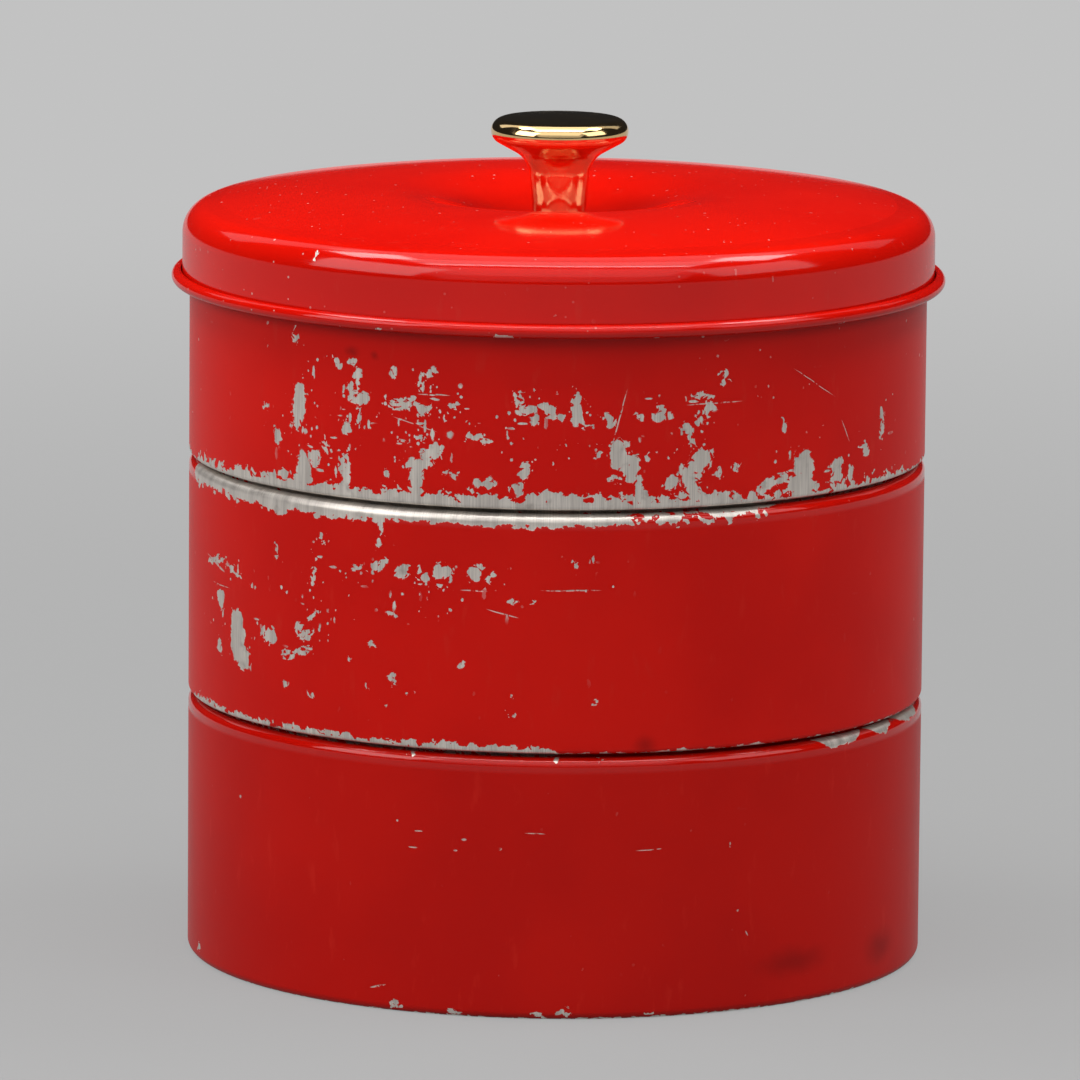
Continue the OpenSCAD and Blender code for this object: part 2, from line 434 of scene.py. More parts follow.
TOP_TIER_WEAR = Wear(
    chips=(
        Chip(-44.3, 214.2, 2.2, 4.6, 15), Chip(-35.5, 207.9, 2.4, 2.7), Chip(-32.5, 208.4, 3.2, 2.3),
        Chip(-32.0, 203.0, 2.7, 2.7), Chip(-31.9, 196.6, 6.6, 4.2), Chip(-33.5, 199.5, 3.0, 4.0, 15),
        Chip(-43.0, 193.5, 5.6, 11.0), Chip(-43.6, 187.0, 3.0, 6.0, -15), Chip(-25.4, 206.2, 2.2, 3.3, 15),
        Chip(-20.8, 204.5, 1.4, 6.6), Chip(-19.6, 207.5, 2.8, 2.0), Chip(-22.8, 196.6, 15.0, 1.6),
        Chip(-20.6, 195.4, 4.0, 3.2), Chip(-15.7, 197.2, 3.6, 1.3), Chip(-4.6, 196.6, 6.4, 3.0, 15),
        Chip(-1.4, 196.2, 6.6, 3.2, -15), Chip(0.6, 193.6, 2.2, 3.4), Chip(-47.9, 181.2, 3.4, 5.3, 15),
        Chip(-33.9, 187.3, 3.2, 4.0), Chip(-19.6, 181.2, 7.4, 3.6), Chip(-18.4, 183.4, 4.0, 3.2, 30),
        Chip(-12.0, 186.6, 9.6, 2.0), Chip(-42.3, 172.0, 7.0, 10.0), Chip(-39.8, 175.8, 4.6, 4.6, 30),
        Chip(-34.4, 177.0, 2.4, 6.6, 15), Chip(-33.8, 171.8, 4.2, 7.0), Chip(-21.8, 173.3, 5.2, 12.0),
        Chip(-20.2, 177.4, 6.2, 3.6), Chip(-11.0, 172.8, 6.0, 3.4), Chip(-5.8, 171.6, 3.2, 5.0),
        Chip(3.1, 194.7, 2.8, 6.6, -15), Chip(4.2, 191.6, 4.4, 1.8), Chip(7.7, 192.9, 3.6, 6.6, 15),
        Chip(12.0, 194.2, 2.0, 4.0), Chip(15.8, 194.0, 5.6, 4.0, 45), Chip(20.1, 188.4, 3.2, 9.6, 15),
        Chip(22.0, 192.0, 2.4, 4.6), Chip(24.1, 196.3, 4.3, 3.0), Chip(26.1, 204.9, 2.2, 2.7),
        Chip(9.6, 182.0, 6.6, 8.4), Chip(11.4, 177.0, 5.0, 9.0, -15), Chip(12.6, 170.0, 4.0, 8.0),
        Chip(22.4, 179.8, 7.2, 7.6, -15), Chip(20.4, 174.0, 6.6, 9.0, 15), Chip(21.4, 168.8, 5.0, 6.0),
        Chip(17.6, 172.4, 3.6, 4.6), Chip(41.2, 174.6, 8.6, 9.6, 15), Chip(40.6, 168.6, 12.0, 6.0),
        Chip(36.8, 170.4, 5.0, 3.6), Chip(48.0, 171.3, 4.4, 8.6, -15), Chip(51.6, 170.0, 3.0, 6.6),
        Chip(55.7, 176.6, 4.6, 2.7, 15), Chip(60.2, 180.8, 2.4, 5.4), Chip(36.7, 188.8, 2.0, 4.0),
        Chip(25.5, 174.6, 1.4, 4.6), Chip(28.4, 177.0, 1.6, 1.8), Chip(-32.0, 203.5, 2.4, 6.0, -15),
        Chip(-31.0, 190.5, 1.4, 6.5), Chip(-37.5, 180.0, 4.0, 1.6, -30), Chip(-40.5, 177.0, 2.8, 2.8, 30),
        Chip(-24.0, 184.0, 6.0, 1.4, -15), Chip(-21.0, 186.5, 3.0, 2.0), Chip(-26.5, 174.5, 2.6, 2.2),
        Chip(-6.0, 200.0, 1.6, 5.0), Chip(-5.0, 177.0, 4.4, 2.8, 45), Chip(-3.5, 193.0, 2.6, 4.6, 15),
        Chip(-16.0, 175.5, 4.4, 1.6), Chip(-34.5, 166.5, 4.0, 5.0), Chip(-46.5, 169.0, 5.4, 3.4),
        Chip(-51.0, 190.0, 2.6, 2.2, 30), Chip(3.0, 198.0, 2.2, 6.0, -15), Chip(6.0, 183.0, 3.6, 2.6, 30),
        Chip(8.5, 174.5, 3.6, 1.6), Chip(22.5, 199.5, 7.0, 1.8), Chip(23.5, 195.5, 1.8, 4.6),
        Chip(14.0, 181.0, 2.2, 1.8), Chip(34.0, 170.0, 8.0, 3.4, 15), Chip(55.0, 178.5, 5.6, 2.2),
        Chip(60.0, 186.5, 2.0, 4.4),
    ),
    clusters=(
        Cluster(-38.0, 190.0, 46.0, 44.0, 0.55),
        Cluster(-20.0, 188.0, 44.0, 46.0, 0.6),
        Cluster(-2.0, 190.0, 40.0, 34.0, 0.5),
        Cluster(16.0, 184.0, 40.0, 44.0, 0.6),
        Cluster(44.0, 178.0, 52.0, 34.0, 0.4),
        Cluster(62.0, 180.0, 30.0, 28.0, 0.24),
    ),
    bands=(
        Band(Edge.FOOT, 4.2, 2.4, -62.0, 30.0),
        Band(Edge.FOOT, 2.8, 2.6, -78.0, 72.0),
        Band(Edge.FOOT, 1.2, 1.4, -180.0, 180.0),
    ),
    scratches=(
        Chip(9.4, 194.0, 0.4, 17.0, -15), Chip(24.5, 197.4, 18.0, 0.4), Chip(43.0, 201.0, 19.0, 0.25, -30),
        Chip(50.0, 184.0, 0.35, 8.0, 30), Chip(-19.0, 200.0, 10.0, 0.4), Chip(-22.0, 190.0, 14.0, 0.3, -15),
    ),
    dark_spots=(Chip(-28.8, 210.6, 3.0, 3.0), Chip(-33.0, 212.0, 5.0, 3.0)),
    sprinkle=0.05,
)

MIDDLE_TIER_WEAR = Wear(
    chips=(
        Chip(-28.7, 142.7, 4.6, 3.0, 15), Chip(-23.7, 143.2, 4.8, 5.0, -15), Chip(-20.6, 142.4, 3.2, 3.2),
        Chip(-17.3, 143.0, 4.4, 4.8), Chip(-12.4, 143.4, 4.8, 4.6), Chip(-9.5, 142.5, 3.0, 2.0),
        Chip(-32.0, 142.0, 4.0, 1.6, 15), Chip(-27.9, 156.5, 1.8, 4.6), Chip(-39.9, 137.2, 2.6, 5.3, 15),
        Chip(-48.3, 144.9, 2.0, 4.6), Chip(-66.0, 135.4, 14.0, 1.8, 15), Chip(-60.0, 134.0, 9.0, 2.0, -15),
        Chip(-64.0, 123.1, 5.0, 4.6, 15), Chip(-58.4, 113.6, 8.0, 17.0), Chip(-56.6, 107.4, 6.0, 10.0, 15),
        Chip(-49.3, 115.8, 4.2, 6.0, 15), Chip(-41.7, 118.3, 7.0, 2.4, 30),
        Chip(-43.6, 112.4, 13.5, 2.0, 15), Chip(-40.4, 125.4, 6.0, 1.8, 45), Chip(-64.6, 107.8, 3.4, 5.3),
        Chip(-25.8, 128.8, 2.2, 2.0), Chip(-29.0, 118.6, 1.9, 1.7), Chip(-13.9, 114.3, 2.0, 2.2),
        Chip(-3.9, 134.3, 1.6, 1.2, 15), Chip(2.7, 147.4, 1.3, 1.7), Chip(-28.0, 152.0, 1.4, 3.0),
        Chip(-38.5, 151.0, 1.6, 3.6), Chip(-27.5, 144.5, 3.4, 1.8, 30), Chip(-7.0, 135.5, 2.8, 1.2),
        Chip(-51.5, 117.5, 2.2, 4.4), Chip(-43.0, 120.5, 3.6, 4.0, -30), Chip(-25.0, 107.0, 1.2, 3.0),
        Chip(-33.4, 113.0, 1.4, 1.8), Chip(-29.4, 104.0, 0.8, 2.0), Chip(-25.4, 109.2, 1.8, 2.0),
        Chip(-22.8, 103.1, 1.1, 1.3), Chip(-26.7, 97.4, 1.1, 1.0), Chip(-40.4, 98.9, 0.9, 2.7, 15),
        Chip(-45.9, 100.7, 1.9, 1.7), Chip(-6.9, 104.4, 0.6, 1.7), Chip(-6.9, 97.6, 0.6, 1.7),
        Chip(5.8, 103.3, 1.0, 1.0),
    ),
    clusters=(
        Cluster(-60.0, 122.0, 44.0, 44.0, 0.4),
        Cluster(-40.0, 132.0, 40.0, 50.0, 0.4),
        Cluster(-18.0, 138.0, 60.0, 32.0, 0.36),
        Cluster(4.0, 142.0, 30.0, 20.0, 0.16),
    ),
    bands=(
        Band(Edge.RIM, 5.2, 1.7, -80.0, -24.0),
        Band(Edge.RIM, 3.7, 1.2, -30.0, 12.0),
        Band(Edge.RIM, 2.0, 2.4, 6.0, 37.0),
        Band(Edge.FOOT, 2.2, 1.7, -80.0, 2.0),
        Band(Edge.FOOT, 0.4, 0.7, -180.0, 180.0),
    ),
    scratches=(
        Chip(2.3, 138.6, 17.0, 0.4), Chip(-12.5, 138.0, 8.0, 0.4), Chip(-66.0, 134.5, 14.0, 0.9, -15),
        Chip(-64.0, 128.0, 12.0, 0.3), Chip(-8.0, 131.0, 10.0, 0.4, -15),
    ),
    # Painted shade of a dent: a darker spot just above the foot.
    dark_spots=(Chip(13.7, 88.6, 7.0, 6.0),),
    sprinkle=0.02,
)

BOTTOM_TIER_WEAR = Wear(
    chips=(
        Chip(-22.4, 83.6, 1.6, 2.0), Chip(0.3, 84.8, 1.6, 1.4), Chip(7.1, 84.6, 1.8, 1.4),
        Chip(-24.6, 2.0, 3.4, 2.0), Chip(-15.4, 1.6, 4.2, 1.6), Chip(-2.2, 1.4, 4.8, 1.6),
        Chip(1.8, 1.8, 3.0, 2.2), Chip(15.0, 1.4, 3.6, 1.4), Chip(-74.0, 4.0, 3.0, 2.4),
    ),
    bands=(
        Band(Edge.RIM, 2.7, 0.7, 44.0, 57.0),
        Band(Edge.RIM, 2.5, 0.7, 57.5, 67.0),
        Band(Edge.RIM, 2.4, 0.7, 67.5, 81.5),
        Band(Edge.FOOT, 0.3, 0.7, -180.0, 180.0),
    ),
    scratches=(
        Chip(-20.9, 59.4, 2.8, 0.4), Chip(-21.9, 54.1, 3.5, 0.4), Chip(-24.5, 62.1, 0.7, 0.7),
        Chip(-13.6, 57.6, 1.5, 0.7), Chip(-8.2, 55.0, 1.3, 0.8, 15), Chip(-15.0, 53.9, 1.2, 0.5),
        Chip(-2.8, 60.3, 6.0, 0.3), Chip(14.8, 54.7, 9.0, 0.26), Chip(28.1, 54.7, 0.5, 1.7),
        Chip(29.4, 33.0, 0.8, 0.7), Chip(31.0, 25.2, 0.4, 2.0, 30), Chip(-57.3, 60.8, 1.2, 1.0),
        Chip(-27.6, 8.0, 5.2, 0.6, 15),
    ),
    # Painted shade: two broad darker patches low on the right of the bottom tier.
    dark_spots=(Chip(62.0, 12.0, 18.0, 10.0), Chip(40.0, 14.0, 26.0, 9.0)),
    sprinkle=0.02,
)

LID_WEAR = Wear(
    chips=(
        Chip(-39.4, 241.0, 1.0, 3.2, 15), Chip(-8.0, 219.9, 5.0, 1.6), Chip(46.0, 220.4, 3.0, 1.0),
        Chip(14.0, 220.0, 2.0, 0.8), Chip(-27.0, 220.2, 1.6, 0.8),
    ),
    sprinkle=0.03,
)


# --- Finishes ---


@dataclass(frozen=True)
class BareSheet:
    """Drawn aluminium, satin, with the streaks that the press left along the draw."""

    bright: Colour = (0.84, 0.78, 0.71)
    dull: Colour = (0.52, 0.47, 0.43)
    stain: Colour = (0.26, 0.22, 0.2)
    metallic: float = 0.7
    rough_low: float = 0.26
    rough_high: float = 0.5

    def streaks(self, shader: Shader, round_mm: Value, along_mm: Value) -> Value:
        """Returns the streaks, from 0 to 1, on a surface unrolled to millimetres."""
        fine = shader.noise(shader.vector(round_mm * 2.6, along_mm * 0.05, 0.0), 1.0, 3.0, 0.7)
        broad = shader.noise(shader.vector(round_mm * 0.35, along_mm * 0.04, 4.0), 1.0, 2.0)
        return fine * 0.6 + broad * 0.4

    def colour(self, shader: Shader, streaks: Value, place: Any) -> Any:
        """Returns the socket of the metal's colour, with its streaks and stains."""
        metal = shader.mix(streaks.ramp(0.3, 0.7), self.dull, self.bright)
        dark_spots = shader.noise(place, 160.0, 3.0, 0.6).ramp(0.56, 0.78, 0.0, 0.5)
        return shader.mix(dark_spots, metal, self.stain)


@dataclass(frozen=True)
class Fall:
    """How a pressed crown starts to fall away to its shoulder.

    Attributes:
        start: Radius in millimetres where the fall begins.
        knee: Radius up to which it falls evenly.
        end: Radius where it has met the round of the shoulder.
        slope: How steeply it falls.
    """

    start: float
    knee: float
    end: float
    slope: float

    def height(self, shader: Shader, place: Any) -> Value:
        """Returns the height of the fall in millimetres, which is 0 at its start."""
        flat = shader.stretched(place, (1.0 / MM, 1.0 / MM, 0.0))
        radius = shader.length(flat)
        even = (radius - self.start).most(0.0).least(self.knee - self.start)
        late = ((radius - self.knee) / (self.end - self.knee)).most(0.0).least(1.0)
        last = (2.0 * late - late * late) * ((self.end - self.knee) / 2)
        return (even + last) * -self.slope


@dataclass(frozen=True)
class RedLacquer:
    """Glossy red lacquer over drawn aluminium, worn through where its wear says.

    Attributes:
        radius: Radius in millimetres on which angles become lengths.
        wear: The wear of the piece.
        inner_r: Radius in millimetres inside which nothing is chipped or scratched.
        edges: Heights in millimetres of the edges that its bare bands run along.
        dust: How much pale dust lies on it, from 0 to 1.
        fall: Where a crown falls away to its shoulder, if it does.
        shade: What the two reds are multiplied by; below 1 it is painted shade, which makes the lower tiers
            darker.
        bare: The metal under the lacquer.
        spot_darkness: How dark the dark spots are, from 0 to 1; on the lower tiers the spots are painted
            shade.
        scratched: How bare the scratches are, from 0 to 1.
        film: Thickness of the lacquer in millimetres.
        wave: Millimetres that the sheet is wavy, over a hand's width.
        peel: Millimetres that the lacquer is rough like peel.
        scuff: Depth in millimetres of the scuffs.
        grain: Depth in millimetres of the streaks in the bare metal.
        sway, shard, nibble: Millimetres that noise, large and small cells shift a chip's outline.
        band_taper: Degrees over which a bare band narrows to its ends.
        coat: How much of the gloss is left.
        sheltered: Height in millimetres above which more of the gloss is left.
        sheltered_coat: How much of the gloss is left there.
    """

    radius: float
    wear: Wear
    inner_r: float
    edges: dict[Edge, float] = field(default_factory=dict)
    dust: float = 0.0
    fall: Fall | None = None
    bare: BareSheet = field(default_factory=BareSheet)
    red: Colour = (0.68, 0.0056, 0.0012)
    deep_red: Colour = (0.61, 0.004, 0.0009)
    worn_red: Colour = (0.62, 0.02, 0.011)
    dark_spot_red: Colour = (0.16, 0.002, 0.001)
    dust_pink: Colour = (0.62, 0.42, 0.38)
    spot_darkness: float = 0.5
    scratched: float = 0.85
    shade: float = 1.0
    film: float = 0.09
    wave: float = 0.16
    peel: float = 0.0022
    scuff: float = 0.004
    grain: float = 0.02
    sway: float = 4.0
    shard: float = 2.3
    nibble: float = 0.8
    band_taper: float = 4.0
    base_rough: float = 0.34
    coat: float = 0.32
    sheltered: float = 1000.0
    sheltered_coat: float = 0.9
    coat_rough: float = 0.09
    coat_ior: float = 1.46

    def spot(self, shader: Shader, leaning: Any, chip: Chip) -> Value:
        """Returns how far a point is from a chip's middle, where 1 is its outline.

        Args:
            shader: The shader.
            leaning: The unrolled surface, turned back by the chip's turn.
            chip: The chip.
        """
        across, up = math.radians(chip.angle) * self.radius, chip.height
        lean = math.radians(chip.turn)
        middle = (
            across * math.cos(lean) + up * math.sin(lean),
            up * math.cos(lean) - across * math.sin(lean),
        )
        scale = (2.0 / chip.wide, 2.0 / chip.high, 0.0)
        shift = (-middle[0] * scale[0], -middle[1] * scale[1], 0.0)
        inputs = {0: leaning, 1: scale, 2: shift}
        local = shader.node("ShaderNodeVectorMath", {"operation": "MULTIPLY_ADD"}, inputs)
        return shader.length(local.outputs[0])

    def nearest(self, shader: Shader, unrolled: Any, chips: Iterable[Chip]) -> Value | None:
        """Returns the distance from the nearest of some chips, or None if there are none.

        Args:
            shader: The shader.
            unrolled: The unrolled surface, in millimetres.
            chips: The chips. Those with the same turn share one turned surface.
        """
        turns: dict[float, list[Chip]] = {}
        for chip in chips:
            turns.setdefault(chip.turn, []).append(chip)
        found: Value | None = None
        for turn, alike in turns.items():
            settings = {"rotation_type": "Z_AXIS"}
            inputs = {"Vector": unrolled, "Angle": -math.radians(turn)}
            leaning = unrolled
            if turn != 0.0:
                leaning = shader.node("ShaderNodeVectorRotate", settings, inputs).outputs[0]
            for chip in alike:
                here = self.spot(shader, leaning, chip)
                found = here if found is None else found.least(here)
        return found

    def sprinkled(self, shader: Shader, unrolled: Any, place: Any) -> Value:
        """Returns the mask of the small flakes that clusters and the plain surface have lost."""
        density: Any = self.wear.sprinkle
        for cluster in self.wear.clusters:
            area = Chip(cluster.angle, cluster.height, cluster.wide, cluster.high)
            density = self.spot(shader, unrolled, area).ramp(0.5, 1.1, cluster.density, 0.0) + density
        patches = shader.noise(place, 75.0, 2.0, 0.5).ramp(0.4, 0.62, 0.15, 1.6)
        likely = patches * density
        torn = shader.warp(place, place, 900.0, 0.7 * MM, 1.0)
        found: Any = 0.0
        for flake in FLAKES:
            near, colour = shader.cells(shader.stretched(torn, flake.stretch), flake.scale)
            chance, spread, _ = shader.parts(colour)
            pick = chance - (1.0 - likely * flake.share)
            size = spread * 0.5 + 0.16
            found = (pick * 60.0).least((size - near) * 9.0).most(found)
        return found.ramp(0.0, 1.0)

    def banded(self, shader: Shader, angle: Value, height: Value, place: Any) -> Value | None:
        """Returns the mask of the bare strips along the edges, or None if there are none."""
        broad = shader.noise(place, 60.0, 1.0) - 0.5
        torn = shader.parts(shader.cells(place, 420.0)[1])[0]
        fine = (torn - 0.5) * 0.5 + shader.noise(place, 380.0, 2.0, 0.66) - 0.5
        found: Value | None = None
        for band in self.wear.bands:
            width = band.width + (broad * 2.4 + fine * 2.6) * band.ragged
            if band.end - band.start < FULL_TURN:
                starts = (angle - band.start).ramp(0.0, self.band_taper)
                width = width * (starts * (band.end - angle).ramp(0.0, self.band_taper))
            here = (width - abs(height - self.edges[band.edge])).ramp(0.0, 0.14)
            found = here if found is None else found.most(here)
        return found

    def material(self, name: str) -> bpy.types.Material:
        """Builds the material.

        Args:
            name: The material's name.

        Returns:
            The material.
        """
        shader = Shader(name)
        place = shader.place()
        x, y, z = shader.axes(place)
        turn = x.maths("ARCTAN2", x, y * -1.0)
        angle = turn * (180.0 / math.pi)
        round_mm = turn * self.radius
        height = z * (1.0 / MM)
        flat = shader.vector(round_mm, height, 0.0)
        shards = shader.cells(shader.warp(place, place, 420.0, 2.4 * MM, 1.0), 330.0)[1]
        nibbles = shader.cells(place, 800.0)[1]
        ragged = shader.shifted(shader.warp(flat, place, 150.0, self.sway), shards, self.shard)
        ragged = shader.shifted(ragged, nibbles, self.nibble)

        bare = self.sprinkled(shader, flat, place)
        reach = shader.length(shader.vector(x, y, 0.0)) / MM
        outside = reach.ramp(self.inner_r, self.inner_r + 1.5)
        spots = self.nearest(shader, ragged, self.wear.chips)
        if spots is not None:
            bare = bare.most(spots.ramp(1.06, 0.98) * outside)
        lines = self.nearest(shader, shader.warp(flat, place, 60.0, 1.6), self.wear.scratches)
        if lines is not None:
            broken = shader.noise(place, 500.0, 2.0).ramp(0.38, 0.5)
            bare = bare.most(lines.ramp(1.2, 0.8) * broken * outside * self.scratched)
        bands = self.banded(shader, angle, height, place)
        if bands is not None:
            bare = bare.most(bands)

        streaks = self.bare.streaks(shader, round_mm, height)
        metal = self.bare.colour(shader, streaks, place)
        depth = shader.noise(place, 14.0, 3.0, 0.5)
        # The reds are multiplied by shade, which is painted shade that darkens the lower tiers.
        deep, full = (tuple(part * self.shade for part in red) for red in (self.deep_red, self.red))
        lacquer = shader.mix(depth.ramp(0.35, 0.65), deep, full)
        rubbed = shader.noise(shader.stretched(place, (1.0, 1.0, 0.3)), 210.0, 3.0, 0.6)
        lacquer = shader.mix(rubbed.ramp(0.6, 0.74, 0.0, 0.35), lacquer, self.worn_red)
        # Darker spots: on the lower tiers these are painted shade, low on the right of the bottom tier and
        # at a dent on the middle tier.
        spot_darkness = self.nearest(shader, shader.warp(flat, place, 120.0, 4.0), self.wear.dark_spots)
        if spot_darkness is not None:
            lacquer = shader.mix(spot_darkness.ramp(0.0, 1.5, self.spot_darkness, 0.0), lacquer, self.dark_spot_red)
        dust_mask = self.dusting(shader, place)
        if dust_mask is not None:
            lacquer = shader.mix(dust_mask, lacquer, self.dust_pink)
        colour = shader.mix(bare, lacquer, metal)

        metal_rough = streaks.ramp(0.25, 0.75, self.bare.rough_low, self.bare.rough_high)
        rough = bare * metal_rough + (1.0 - bare) * self.base_rough
        waves = shader.noise(place, 22.0, 1.0) * self.wave + shader.noise(place, 700.0, 1.0) * self.peel
        scuffs = shader.noise(shader.stretched(place, (260.0, 260.0, 1500.0)), 1.0, 1.0).ramp(0.6, 0.7)
        relief = waves + scuffs * self.scuff + bare * (streaks * self.grain - self.film)
        if self.fall is not None:
            relief = relief + self.fall.height(shader, place)
        normal = shader.bump(relief, MM)
        shelter = height.ramp(self.sheltered - 1.5, self.sheltered, self.coat, self.sheltered_coat)
        coat = (1.0 - bare) * shelter
        if dust_mask is not None:
            coat = coat * (1.0 - dust_mask * 0.8)
        return shader.surface(
            {
                "Base Color": colour,
                "Metallic": bare * self.bare.metallic,
                "Roughness": rough,
                "Specular IOR Level": 0.0,
                "Coat Weight": coat,
                "Coat Roughness": self.coat_rough,
                "Coat IOR": self.coat_ior,
                "Normal": normal,
            }
        )

    def dusting(self, shader: Shader, place: Any) -> Value | None:
        """Returns the mask of pale dust specks, or None if the piece has no dust."""
        if self.dust <= 0.0:
            return None
        near, colour = shader.cells(place, 420.0)
        pick = shader.parts(colour)[0]
        areas = shader.noise(place, 16.0, 2.0).ramp(0.42, 0.62)
        size = pick.ramp(1.0 - self.dust, 1.0, 0.0, 0.2)
        return (size - near).ramp(0.0, 0.05) * (areas * 0.6 + 0.15)


@dataclass(frozen=True)
class PanInside:
    """The unlacquered inside of a pan or of the lid, with rings left by the polishing."""

    bright: Colour = (0.74, 0.72, 0.69)
    dull: Colour = (0.52, 0.5, 0.48)

    def material(self, name: str) -> bpy.types.Material:
        """Builds the material and returns it."""
        shader = Shader(name)
        place = shader.place()
        radius = shader.length(shader.stretched(place, (1.0, 1.0, 0.0)))
        height = shader.axes(place)[2]
        rings = shader.noise(shader.vector(radius * 1400.0, height * 900.0, 0.0), 1.0, 3.0, 0.6)
        haze = shader.noise(place, 24.0, 3.0, 0.6)
        marks = shader.noise(shader.stretched(place, (90.0, 700.0, 90.0)), 1.0, 2.0)
        level = rings * 0.5 + haze * 0.35 + marks * 0.15
        colour = shader.mix(level.ramp(0.38, 0.62), self.dull, self.bright)
        rough = level.ramp(0.35, 0.65, 0.28, 0.46)
        normal = shader.bump(rings, 0.006 * MM)
        return shader.surface({"Base Color": colour, "Metallic": 1.0, "Roughness": rough, "Normal": normal})


@dataclass(frozen=True)
class GoldPlate:
    """Polished gold-coloured plate, a little hazed by handling."""

    gold: Colour = (0.86, 0.6, 0.28)
    tarnish: Colour = (0.42, 0.24, 0.09)
    rough_low: float = 0.05
    rough_high: float = 0.17

    def material(self, name: str) -> bpy.types.Material:
        """Builds the material and returns it."""
        shader = Shader(name)
        place = shader.place()
        haze = shader.noise(place, 120.0, 3.0, 0.6)
        rubs = shader.noise(shader.stretched(place, (300.0, 300.0, 2600.0)), 1.0, 3.0, 0.6)
        pits = shader.noise(place, 900.0, 2.0).ramp(0.7, 0.78)
        colour = shader.mix(haze.ramp(0.5, 0.8, 0.0, 0.35), self.gold, self.tarnish)
        colour = shader.mix(pits * 0.6, colour, self.tarnish)
        rough = (haze * 0.6 + rubs * 0.4).ramp(0.35, 0.7, self.rough_low, self.rough_high)
        worn = shader.bump(rubs, 0.0012 * MM)
        normal = shader.bump(1.0 - pits, 0.01 * MM, worn)
        return shader.surface({"Base Color": colour, "Metallic": 1.0, "Roughness": rough, "Normal": normal})


@dataclass(frozen=True)
class PlatedSteel:
    """Zinc-plated steel of the fastenings."""

    light: Colour = (0.62, 0.62, 0.6)
    dark: Colour = (0.34, 0.34, 0.33)

    def material(self, name: str) -> bpy.types.Material:
        """Builds the material and returns it."""
        shader = Shader(name)
        place = shader.place()
        mottle = shader.noise(place, 500.0, 3.0, 0.6)
        turned = shader.noise(shader.stretched(place, (200.0, 200.0, 4000.0)), 1.0, 2.0)
        colour = shader.mix(mottle.ramp(0.35, 0.7), self.light, self.dark)
        rough = mottle.ramp(0.3, 0.7, 0.28, 0.48)
        normal = shader.bump(turned * 0.5 + mottle * 0.5, 0.008 * MM)
        return shader.surface({"Base Color": colour, "Metallic": 1.0, "Roughness": rough, "Normal": normal})


@dataclass(frozen=True)
class StudioFloor:
    """Matt pale floor, which keeps its shade far from the lamps.

    Attributes:
        pale: The shade that it has by itself, as the camera and reflections see it.
        matt: The shade that the lamps light, which takes the shadow.
        glow: How much of its own shade it has close to the tin, from 0 to 1.
        near: Radius up to which that share holds, in metres.
        far: Radius from which it only has its own shade, in metres.
    """

    pale: Colour = (0.54, 0.54, 0.54)
    matt: Colour = (0.24, 0.24, 0.24)
    glow: float = 0.6
    near: float = 0.4
    far: float = 1.8

    def material(self, name: str) -> bpy.types.Material:
        """Builds the material and returns it."""
        shader = Shader(name)
        place = shader.place()
        away = shader.length(place).ramp(self.near, self.far)
        rays = shader.node("ShaderNodeLightPath", {}, {})
        seen = Value(shader, rays.outputs["Is Camera Ray"])
        for kind in ("Is Glossy Ray", "Is Transmission Ray"):
            seen = seen.most(Value(shader, rays.outputs[kind]))
        matt = shader.node("ShaderNodeBsdfDiffuse", {}, {"Color": self.matt})
        own = shader.node("ShaderNodeEmission", {}, {"Color": self.pale, "Strength": 1.0})
        inputs = {0: (away * (1.0 - self.glow) + self.glow) * seen, 1: matt.outputs[0], 2: own.outputs[0]}
        mixed = shader.node("ShaderNodeMixShader", {}, inputs)
        shader.tree.links.new(mixed.outputs[0], shader.output.inputs[0])
        return shader.material


# --- Turned shapes ---


class Lathe:
    """Draws half an outline in the plane Y = 0 with bmesh operators and turns it about Z."""

    STEPS = 288
    HOLD = 0.35 * MM

    def __init__(self, radius: float, height: float) -> None:
        """Starts the outline at a point.

        Args:
            radius: The point's distance from the axis.
            height: The point's height.
        """
        self.mesh = bmesh.new()
        made = bmesh.ops.create_vert(self.mesh, co=(radius, 0.0, height))
        self.pen = made["vert"][0]

    def line(self, radius: float, height: float) -> Lathe:
        """Draws a straight stretch, with a ring close to each end that keeps the shading flat between them.

        Args:
            radius: Where it ends, from the axis.
            height: Where it ends, upwards.

        Returns:
            The lathe itself.
        """
        start = self.pen.co.copy()
        end = Vector((radius, 0.0, height))
        length = (end - start).length
        stops = [1.0]
        if length > 3 * self.HOLD:
            stops = [self.HOLD / length, 1.0 - self.HOLD / length, 1.0]
        for stop in stops:
            made = bmesh.ops.extrude_vert_indiv(self.mesh, verts=[self.pen])
            self.pen = made["verts"][0]
            bmesh.ops.translate(self.mesh, verts=[self.pen], vec=start.lerp(end, stop) - self.pen.co)
        return self

    def bend(self, centre: tuple[float, float], angle: float, steps: int) -> Lathe:
        """Draws an arc from the pen's place.

        Args:
            centre: Radius and height of the arc's centre.
            angle: Degrees that it turns, positive from +Z towards the axis.
            steps: Number of edges.

        Returns:
            The lathe itself.
        """
        made = bmesh.ops.spin(
            self.mesh,
            geom=[self.pen],
            cent=(centre[0], 0.0, centre[1]),
            axis=(0.0, -1.0, 0.0),
            angle=math.radians(angle),
            steps=steps,
            use_duplicate=False,
        )
        self.pen = next(part for part in made["geom_last"] if isinstance(part, bmesh.types.BMVert))
        return self

    def turn(self) -> bmesh.types.BMesh:
        """Turns the outline about Z and closes the seam and the poles.

        Returns:
            The mesh.
        """
        bmesh.ops.spin(
            self.mesh,
            geom=list(self.mesh.edges),
            cent=(0.0, 0.0, 0.0),
            axis=(0.0, 0.0, 1.0),
            angle=2 * math.pi,
            steps=self.STEPS,
            use_merge=True,
            use_duplicate=False,
        )
        bmesh.ops.remove_doubles(self.mesh, verts=list(self.mesh.verts), dist=0.002 * MM)
        bmesh.ops.recalc_face_normals(self.mesh, faces=list(self.mesh.faces))
        return self.mesh


